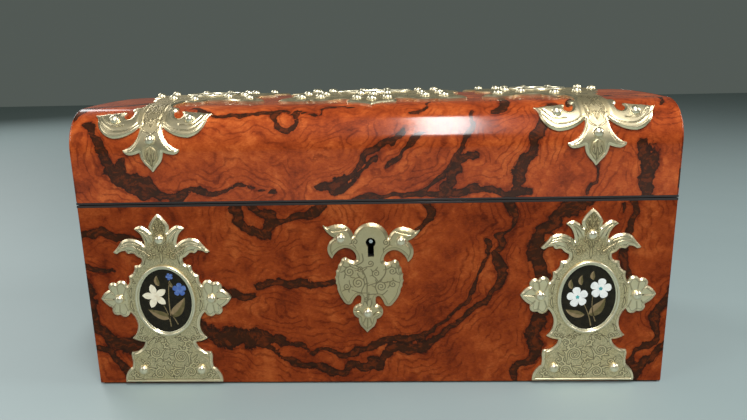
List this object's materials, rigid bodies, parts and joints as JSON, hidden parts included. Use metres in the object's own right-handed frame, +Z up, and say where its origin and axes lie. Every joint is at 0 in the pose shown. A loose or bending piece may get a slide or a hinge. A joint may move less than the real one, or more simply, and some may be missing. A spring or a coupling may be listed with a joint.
{
  "type": "dome-top casket",
  "caption": "Dome-top wooden casket in figured veneer with engraved strap mounts, stud nails, oval flower-inlaid stone plaques, rear stop hinges and a keyed box lock",
  "frame": {"origin": "middle of the flat face that the casket stands on", "axes": "X along the front with +X to the viewer's right, Y from front to back so that the front with the keyhole looks towards -Y, Z up"},
  "size_m": [0.3, 0.1607, 0.1527],
  "materials": {
    "board": "sawn and planed secondary timber, unpolished",
    "veneer": "figured veneer with dark streaks, French polished to a high gloss",
    "ebonised": "blackened hardwood edging, polished",
    "baize": "woven wool cloth with a short nap",
    "lining": "padded silk velvet",
    "hardware_brass": "lacquered brass, lightly worn",
    "steel": "polished spring steel",
    "engraved_metal": "pale brass plate, engraved with scrolls, bevelled and satin polished",
    "polished_metal": "pale brass, turned and polished bright",
    "black_stone": "black marble polished to a high gloss",
    "cream_stone": "cream marble, polished flush",
    "blue_stone": "mottled blue stone, polished flush",
    "white_stone": "white marble, polished flush",
    "teal_stone": "blue-green stone, polished flush",
    "leaf_stone": "banded olive and tan stone, polished flush"
  },
  "bodies": {
    "body": {"front_board": "board", "back_board": "board", "left_end_board": "board", "right_end_board": "board", "base_board": "board", "front_veneer": "veneer", "back_veneer": "veneer", "left_end_veneer": "veneer", "right_end_veneer": "veneer", "body_edging": "ebonised", "base_baize": "baize", "floor_pad": "lining", "front_lining": "lining", "back_lining": "lining", "left_lining": "lining", "right_lining": "lining", "left_hinge_body_leaf": "hardware_brass", "right_hinge_body_leaf": "hardware_brass", "hinge_pins": "hardware_brass", "lock_case": "hardware_brass", "lock_cap": "hardware_brass", "drill_pin": "steel", "body_screws": "hardware_brass", "left_front_plate": "engraved_metal", "right_front_plate": "engraved_metal", "left_bezel": "polished_metal", "right_bezel": "polished_metal", "left_stone": "black_stone", "right_stone": "black_stone", "cream_blossom": "cream_stone", "blue_blossoms": "blue_stone", "white_blossoms": "white_stone", "teal_hearts": "teal_stone", "leaf_inlays": "leaf_stone", "escutcheon": "engraved_metal", "body_studs": "polished_metal"},
    "lid": {"lid_front_rail": "board", "lid_back_rail": "board", "lid_left_end": "board", "lid_right_end": "board", "lid_top_board": "board", "lid_dome_veneer": "veneer", "lid_left_veneer": "veneer", "lid_right_veneer": "veneer", "lid_edging": "ebonised", "lid_pad": "lining", "lid_end_pads": "lining", "left_hinge_lid_leaf": "hardware_brass", "right_hinge_lid_leaf": "hardware_brass", "link_plate": "hardware_brass", "lid_screws": "hardware_brass", "left_strap": "engraved_metal", "right_strap": "engraved_metal", "centre_mount": "engraved_metal", "lid_bezels": "polished_metal", "lid_stones": "black_stone", "lid_inlays": "white_stone", "lid_studs": "polished_metal"},
    "bolt": {"lock_bolt": "hardware_brass", "bolt_spring": "steel"}
  },
  "joints": [
    {"name": "lid_hinge", "type": "hinge", "parent": "body", "child": "lid", "pos_m": [0, 0.0777, 0.0997], "axis": [-1, 0, 0], "range_deg": [0, 95]},
    {"name": "bolt_slide", "type": "slide", "parent": "body", "child": "bolt", "axis": [1, 0, 0], "range_m": [0, 0.0045]}
  ]
}
